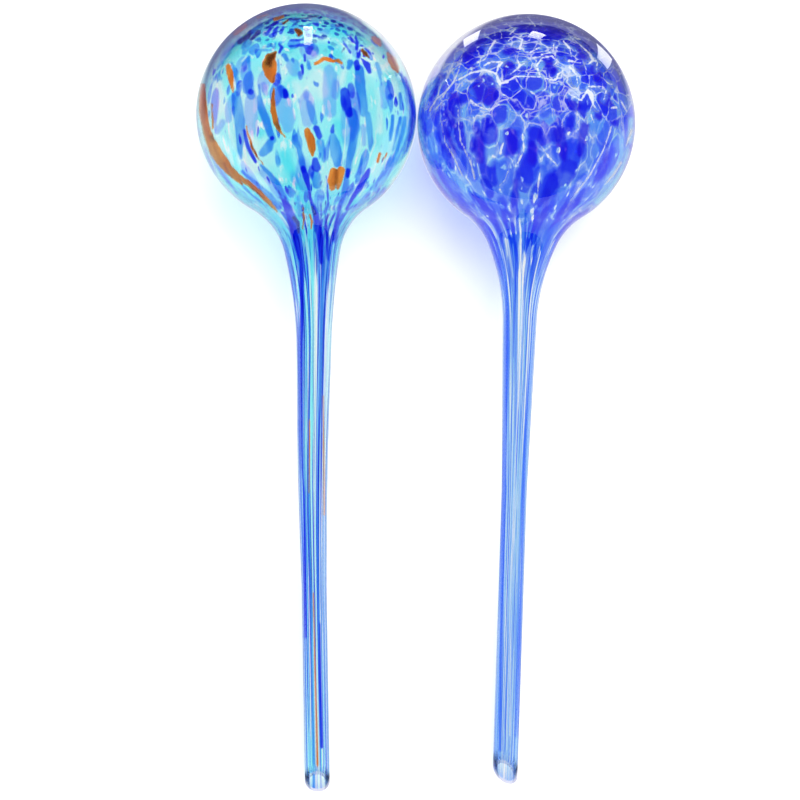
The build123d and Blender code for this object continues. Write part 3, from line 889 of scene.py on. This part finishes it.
DARK_CELLS = (
    ((485, 86, 12), (487, 94, 11)),
    ((455, 98, 6), (453, 112, 8), (457, 124, 6)),
    ((468, 56, 5), (474, 48, 4), (482, 40, 3)),
    ((507, 51, 5), (512, 52, 5)),
    ((509, 68, 7),),
    ((580, 47, 5), (584, 56, 6)),
    ((594, 68, 4.5), (597, 78, 5)),
    ((548, 66, 5), (552, 70, 5)),
    ((574, 106, 6.5),),
    ((598, 116, 4.5),),
    ((443, 76, 3), (437, 88, 3), (431, 99, 2.5)),
    ((520, 30, 3), (545, 31, 4), (563, 36, 4)),
    ((606, 96, 3.5), (609, 104, 3.5)),
    ((442, 128, 5), (447, 142, 6), (453, 154, 4)),
    ((479, 134, 5), (479, 148, 6), (480, 160, 4)),
    ((512, 134, 5), (513, 148, 6)),
    ((559, 132, 6), (562, 148, 6), (564, 158, 3)),
    ((584, 126, 5), (582, 142, 5), (580, 154, 3)),
    ((605, 144, 3), (604, 158, 4.5)),
    ((532, 146, 5), (533, 160, 5)),
    ((515, 180, 2.5), (515, 196, 4), (513, 214, 3), (512, 228, 2)),
    ((474, 194, 2), (486, 208, 4), (498, 224, 4.5), (505, 240, 4)),
    ((548, 190, 3), (545, 208, 3.5), (538, 226, 3)),
)
LIGHT_CELLS = (
    ((465, 106, 2.5), (464, 120, 3)),
    ((541, 66, 3), (544, 72, 3)),
    ((540, 92, 3), (541, 104, 3)),
    ((612, 130, 4), (622, 150, 7), (614, 176, 7), (598, 200, 6)),
    ((630, 120, 3), (628, 140, 4)),
    ((492, 132, 4), (492, 146, 5), (491, 162, 4)),
    ((501, 122, 3), (500, 140, 3)),
    ((526, 132, 2), (524, 150, 2)),
    ((455, 172, 3), (466, 188, 4)),
    ((566, 176, 4), (560, 196, 3.5)),
    ((590, 112, 3), (589, 120, 3)),
    ((433, 138, 2.4), (436, 150, 2.4)),
    ((521, 60, 3), (524, 66, 2.4)),
)
THREADS = (
    ((503, 236, 2.5), (508, 262, 2.6), (508.5, 300, 2.4), (507, 380, 2), (505, 450, 1.8)),
    ((505, 450, 1.8), (502.5, 600, 1.8), (501, 750, 1.8)),
    ((540, 240, 2.5), (533, 262, 2), (530, 300, 1.8), (527, 380, 1.4), (524, 450, 1.2)),
    ((524, 450, 1.2), (519.5, 600, 1), (517, 740, 0.8)),
    ((520, 244, 3), (517, 262, 2), (515, 300, 1), (513, 360, 0.5)),
    ((556, 228, 2), (545, 250, 1.6), (538, 275, 0.8)),
    ((486, 226, 2), (497, 248, 1.6), (502, 275, 0.8)),
)
# Pale patches in the cells; those round the bulb's middle are a painted glow of light, where the bulb is
# brightest
PALE_AND_PAINTED_GLOW_SPOTS = (
    ((526, 88, 1.2), (526, 104, 1.8)),
    ((543, 84, 1.6), (547, 96, 2.4), (546, 106, 1.4)),
    ((562, 90, 1), (560, 98, 1.4)),
    ((471, 108, 1.8), (471, 115, 1.8)),
    ((471, 136, 2), (472, 146, 2.5)),
    ((573, 130, 2.6), (573, 142, 2.6)),
    ((594, 128, 2.4), (592, 142, 2.2)),
    ((543, 122, 3), (548, 142, 3.4), (553, 160, 2)),
    ((592, 83, 2.6),),
    ((579, 182, 4), (572, 200, 4), (562, 216, 2)),
    ((603, 188, 2.5), (588, 206, 2)),
)
NET_SPOTS = (
    ((430.5, 111, 1), (437, 99, 0.8), (446, 92.5, 0.8), (454, 82, 1), (458.5, 72.5, 0.6), (462, 60, 0.4)),
    ((435.5, 110, 0.5), (442, 103, 0.6), (444.5, 94, 0.8)),
    ((454, 82, 0.8), (463, 78, 0.8), (472, 73, 1), (485, 70.4, 1.2), (496, 73.5, 1.1), (500, 84, 1.8)),
    ((506.7, 82, 1.8), (500, 84, 0.7)),
    ((506.7, 82, 0.9), (515.5, 76.5, 0.7), (530, 77, 0.5), (540, 77, 0.6), (553, 80.5, 1), (556.5, 79, 1.5)),
    ((556.5, 79, 1.2), (558, 74.5, 0.8), (562.5, 71, 0.5)),
    ((540, 76, 0.8), (536.5, 66, 0.8), (542, 58.6, 0.6), (552, 56.5, 0.8), (554.5, 59.5, 0.6)),
    ((533, 58, 0.9), (542, 57, 0.5), (552, 56.4, 0.6)),
    ((509.6, 75, 0.4), (517.7, 69, 0.6), (520, 66, 1.4), (517, 59.5, 0.5), (514, 56, 0.4)),
    ((520, 66, 0.8), (527, 62, 0.4)),
    ((477.4, 63, 1), (484, 60.5, 0.5), (487, 57, 0.6), (489, 51, 0.8), (495, 41.5, 1.2)),
    ((485, 65.5, 1.1), (492, 62, 0.8), (503, 62.5, 0.9), (499, 66.5, 1.3), (496.5, 73, 0.6)),
    ((520, 49, 1.4), (522.5, 40, 0.6), (514, 36.8, 0.6), (508, 41.5, 0.5)),
    ((510.4, 34.4, 0.7), (515.5, 30, 0.6)),
    ((530, 52.8, 0.7), (539, 48.2, 0.8), (540, 49, 0.4)),
    ((553.5, 44.7, 0.5), (553, 52, 0.7), (541, 55, 0.4)),
    ((568.5, 61, 1.4), (577, 63, 0.5), (588, 64.5, 0.5), (592.5, 60.5, 1.6),
     (589.6, 55, 1), (579.5, 45.5, 0.7), (572, 39.5, 0.4)),
    ((563, 41.7, 0.9), (569.8, 49.8, 0.9), (571, 57, 0.3)),
    ((569.5, 67.5, 1.5), (576.4, 74.8, 0.7), (577, 84, 0.5)),
    ((592.5, 60.5, 1), (597, 62, 0.7), (596, 70, 0.3)),
    ((588, 86.7, 0.7), (602, 87.2, 0.8), (605.7, 91, 0.7), (603, 100, 0.4)),
    ((569, 94.6, 0.6), (580.8, 100.5, 0.9), (587.4, 90, 1.3), (590.7, 95, 2.6),
     (593.2, 105.6, 0.8), (597, 110.7, 0.4)),
    ((569, 94.6, 0.8), (566, 90, 0.4)),
    ((590.3, 115, 0.8), (594, 123, 0.4)),
    ((611, 108, 0.7), (615.5, 107.5, 1.5)),
    ((611, 84.5, 1), (606, 83, 0.5)),
    ((619, 99.7, 0.5), (622.6, 105.6, 1), (626, 112, 0.4)),
    ((471, 101, 1.5), (474, 103.5, 1), (478, 106, 0.8), (485.4, 109.5, 0.7),
     (490.6, 109.8, 0.9), (500, 104, 0.5)),
    ((458.3, 107, 0.6), (459, 123, 0.5), (461, 141, 0.7), (471, 162, 0.9), (475, 179, 0.9)),
    ((441, 118, 0.4), (445.6, 142, 0.6), (456.3, 161, 0.9), (463, 176, 0.5)),
    ((500.5, 153, 1.4), (503, 143, 0.6)),
    ((522.5, 134, 0.5), (524, 150, 0.8), (517.5, 163.5, 0.8), (510, 158, 0.3)),
    ((538, 142, 0.4), (548, 156, 1), (557, 165, 0.6)),
    ((540, 172, 0.6), (538.5, 182, 0.9), (537, 200, 0.4)),
    ((508, 171, 0.6), (505, 180, 0.6), (499, 186, 0.3)),
    ((611, 126, 0.7), (603, 150, 0.7), (590, 174, 0.8), (570, 200, 0.5)),
    ((524, 252, 0.4), (522.5, 300, 1.2), (518, 400, 0.9), (515, 480, 0.7),
     (511, 620, 0.6), (509.5, 740, 0.5)),
    ((631, 130, 0.9), (627, 140, 1.1), (625, 146, 0.4)),
    ((620, 162, 0.8), (613, 174, 1.1), (604, 184, 0.7)),
    ((500, 21, 0.9), (503, 21.5, 0.5)),
    ((517.7, 18, 0.7), (522.5, 15, 0.5)),
    ((521, 22.5, 0.6), (523, 22, 0.6)),
    ((541, 24, 0.9), (543, 24.2, 0.5)),
    ((570, 28.5, 0.7), (573, 29.3, 0.5)),
    ((573.5, 38.5, 0.5), (579.5, 40, 1)),
    ((495, 32, 0.5), (495, 36, 0.5)),
    ((528, 18.5, 0.5), (535, 26.5, 0.6)),
)


def dress(globe, stretch, thinning, material, kinds):
    """The clear wall and the colour layer of one globe, in place of its CAD glass, chips and threads."""
    wall, vertices = closed_shell(f"{globe.name}_wall", globe, 0.0, WALL, 0.0, WALL_AROUND, WALL_STEPS, 0.0)
    store(wall, "flow", flow_field(globe, vertices, stretch, thinning))
    along, off, angle = globe.unplaced(vertices)
    outer_skin = np.linalg.norm(vertices - np.array(globe.centre), axis=1) > globe.radius - WALL / 2
    store(wall, "crown", outer_skin * rise(-along / globe.radius, *CROWN_ZONE))
    store(wall, "lip", rise(along - globe.tip(off, angle), -LIP_START, -LIP_START / 2))
    wall.data.materials.append(clear_glass(f"{globe.name}_clear"))
    layer, vertices = closed_shell(
        f"{globe.name}_colour",
        globe,
        COLOUR_OUTER,
        COLOUR_INNER,
        COLOUR_STOP,
        COLOUR_AROUND,
        COLOUR_STEPS,
        CROWDED_SHARE,
    )
    store(layer, "flow", flow_field(globe, vertices, stretch, thinning))
    along, off, angle = globe.unplaced(vertices)
    down = along / globe.radius
    seen_side = rise(np.cos(angle) * off / globe.radius, *WILD_FACING)
    zones = {
        "upper": 1 - rise(down, *LOWER_ZONE),
        "streaky": rise(down, *STREAKY_ZONE) - SPARSE_SHARE * rise(down, *SPARSE_ZONE),
        "drawn": rise(down, *DRAWN_ZONE),
        "throat": rise(down, *THROAT_ZONE) * (1 - rise(down, *THROAT_END)),
        "cap": rise(-down, *CAP_ZONE),
        "wild": (1 - seen_side) * (1 - rise(down, *WILD_END)),
    }
    for name, values in zones.items():
        store(layer, name, values)
    for name, chains in kinds.items():
        store(layer, name, spot_field(globe, vertices, chains))
    layer.data.materials.append(material)
    globe.glass = bpy.data.collections.new(f"{globe.name}_glass")
    globe.glass.objects.link(wall)
    nodes = [n for n in frame["nodes"] if n.startswith(f"{globe.name}_")]
    coloured = [n for n in nodes if n.endswith(("_chips", "_threads"))]
    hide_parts(*[n for n in nodes if n not in coloured])
    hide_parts(*coloured)
    for piece in (wall, layer):
        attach(piece, f"{globe.name}_globe")


turquoise_spots = {
    "pale": PALE_SPOTS,
    "azure": AZURE_SPOTS,
    "deep": DEEP_SPOTS,
    "dark": DARK_SPOTS,
    "milk": MILK_AND_GLINT_SPOTS,
    "teal": TEAL_SPOTS,
    "clear": CLEAR_SPOTS,
    "amber": AMBER_SPOTS,
    "burnt": BURNT_SPOTS,
}
cobalt_spots = {
    "dark": DARK_CELLS,
    "light": LIGHT_CELLS,
    "thread": THREADS,
    "pale": PALE_AND_PAINTED_GLOW_SPOTS,
    "net": NET_SPOTS,
}
dress(turquoise, stretch=2.6, thinning=1.5, material=turquoise_colour(), kinds=turquoise_spots)
dress(cobalt, stretch=1.3, thinning=1.5, material=cobalt_colour(), kinds=cobalt_spots)


def floor():
    """A white table, which fades into the white background.

    In what the glass mirrors, it turns grey beyond the globes and then ends."""
    mesh = bpy.data.meshes.new("table")
    corners = [(x * TABLE_HALF, y * TABLE_HALF, -TABLE_DROP) for x, y in ((-1, -1), (1, -1), (1, 1), (-1, 1))]
    mesh.from_pydata(corners, [], [(0, 1, 2, 3)])
    piece = added("table", mesh)
    material = bpy.data.materials.new("table_white")
    g = Graph(material)
    path = g.node("ShaderNodeLightPath", {}).outputs
    lit = g.node("ShaderNodeBsdfDiffuse", {"Color": tint(TABLE_SHADE, TABLE_SHADE, TABLE_SHADE)}).outputs[0]
    shown = g.node("ShaderNodeAddShader", {0: lit, 1: g.emission(WHITE, TABLE_GLOW)}).outputs[0]
    position = g.node("ShaderNodeNewGeometry", {}).outputs["Position"]
    far = g.node("ShaderNodeVectorMath", {0: position}, operation="LENGTH").outputs["Value"]
    shown = g.blend(g.step(far, *BACKDROP_FROM), shown, g.emission(WHITE))
    x, y = g.node("ShaderNodeSeparateXYZ", {0: position}).outputs[:2]
    away = g.maths("ADD", y, g.times(g.maths("ABSOLUTE", x), SIDEWAYS_SHARE))
    mirrored = g.maths("GREATER_THAN", path["Glossy Depth"], 0.5)
    tone = g.mix(g.times(g.step(away, *VEIL_FROM), mirrored), WHITE, VEIL)
    tone = g.mix(g.times(g.step(away, *ROOM_FROM), mirrored), tone, ROOM)
    through = g.most(path["Is Transmission Ray"], path["Is Glossy Ray"])
    shader = g.blend(path["Is Camera Ray"], lit, shown)
    g.finish(g.blend(through, shader, g.emission(tone)))
    piece.data.materials.append(material)


def world():
    """White round the studio. What the glass mirrors above the table is the dark room."""
    space = bpy.data.worlds.new("studio")
    bpy.context.scene.world = space
    g = Graph(space)
    path = g.node("ShaderNodeLightPath", {}).outputs

    def sky(tone, strength):
        return g.node("ShaderNodeBackground", {"Color": tone, "Strength": strength}).outputs[0]

    seen_through = g.most(path["Is Camera Ray"], path["Is Transmission Ray"])
    mirrored = g.maths("GREATER_THAN", path["Glossy Depth"], 0.5)
    shader = g.blend(seen_through, sky(WHITE, WORLD_SOFT), sky(WHITE, 1.0))
    g.finish(g.blend(mirrored, shader, sky(ROOM, 1.0)), "ShaderNodeOutputWorld")


def lamp(name, axes, place, size, power, mirrored):
    """A soft light that shines against its third axis.

    A mirrored one shows in the glass, as a window does."""
    light = bpy.data.lights.new(name, "AREA")
    light.shape = "RECTANGLE"
    light.size, light.size_y = size
    light.energy = power
    piece = added(name, light)
    piece.matrix_world = Matrix.Translation(place) @ Matrix(axes).transposed().to_4x4()
    piece.visible_camera = False
    piece.visible_glossy = mirrored
    piece.visible_transmission = False
    return piece


def overhead(name, place, target, size, power):
    """A soft light over the table."""
    back = (Vector(place) - Vector(target)).normalized()
    across = Vector((0, 1, 0)).cross(back).normalized()
    lamp(name, (across, back.cross(across), back), Vector(place), (size, size), power, False)


def mirrored_ray(globe, pixel):
    """Where a pixel's ray meets a bulb, and where the bulb's mirror image sends it on."""
    ray = pixel_ray(pixel)
    back = CAMERA - globe.centre
    nearer = ray.dot(back)
    point = CAMERA + ray * (-nearer - sqrt(nearer**2 - back.length_squared + globe.radius**2))
    normal = (point - globe.centre).normalized()
    return point, ray - 2 * ray.dot(normal) * normal


def glint(name, globe, start, end, width, far, brightness):
    """A bright opening that a bulb mirrors as a bar from one pixel to another, with a width in pixels."""
    middle = ((start[0] + end[0]) / 2, (start[1] + end[1]) / 2)
    point, way = mirrored_ray(globe, middle)
    place = point + way * far

    def on_opening(pixel):
        origin, ray = mirrored_ray(globe, pixel)
        return origin + ray * ((place - origin).dot(way) / ray.dot(way))

    run = (end[0] - start[0], end[1] - start[1])
    turned = width / hypot(*run) / 2
    side = (-run[1] * turned, run[0] * turned)
    long = on_opening(end) - on_opening(start)
    left = (middle[0] - side[0], middle[1] - side[1])
    right = (middle[0] + side[0], middle[1] + side[1])
    wide = on_opening(right) - on_opening(left)
    across = long.normalized()
    up = way.cross(across)
    size = (long.length, abs(wide.dot(up)))
    opening = lamp(name, (across, up, way), place, size, brightness * pi * size[0] * size[1], True)
    opening.light_linking.receiver_collection = globe.glass


def camera():
    """Straight down over the pair, as the photograph was taken."""
    lens = bpy.data.cameras.new("camera")
    lens.sensor_width = SENSOR
    lens.lens = SENSOR * FOCAL / PHOTO
    piece = added("camera", lens)
    piece.location = CAMERA
    bpy.context.scene.camera = piece


# The windows that the bulbs mirror: from and to which pixel, how wide, how far, how bright
WINDOWS = (
    ("tall_window", turquoise, (308, 44), (308, 26), 9, 0.35, 10.0),
    ("left_window", cobalt, (463.5, 43), (479, 34), 7, 0.05, 1.3),
    ("middle_window", cobalt, (530, 33.5), (543, 37), 6.5, 0.15, 4.5),
    ("right_window", cobalt, (598, 50), (611, 64), 10, 0.05, 1.0),
)

floor()
world()
overhead("key", place=(0.25, 0.45, 1.2), target=(0, 0.05, 0), size=1.0, power=18.0)
for window in WINDOWS:
    glint(*window)
camera()
scene = bpy.context.scene
scene.view_settings.view_transform = "Standard"
scene.cycles.transparent_max_bounces = 32
scene.cycles.max_bounces = 12
scene.cycles.transmission_bounces = 12
scene.cycles.glossy_bounces = 6
scene.cycles.diffuse_bounces = 2
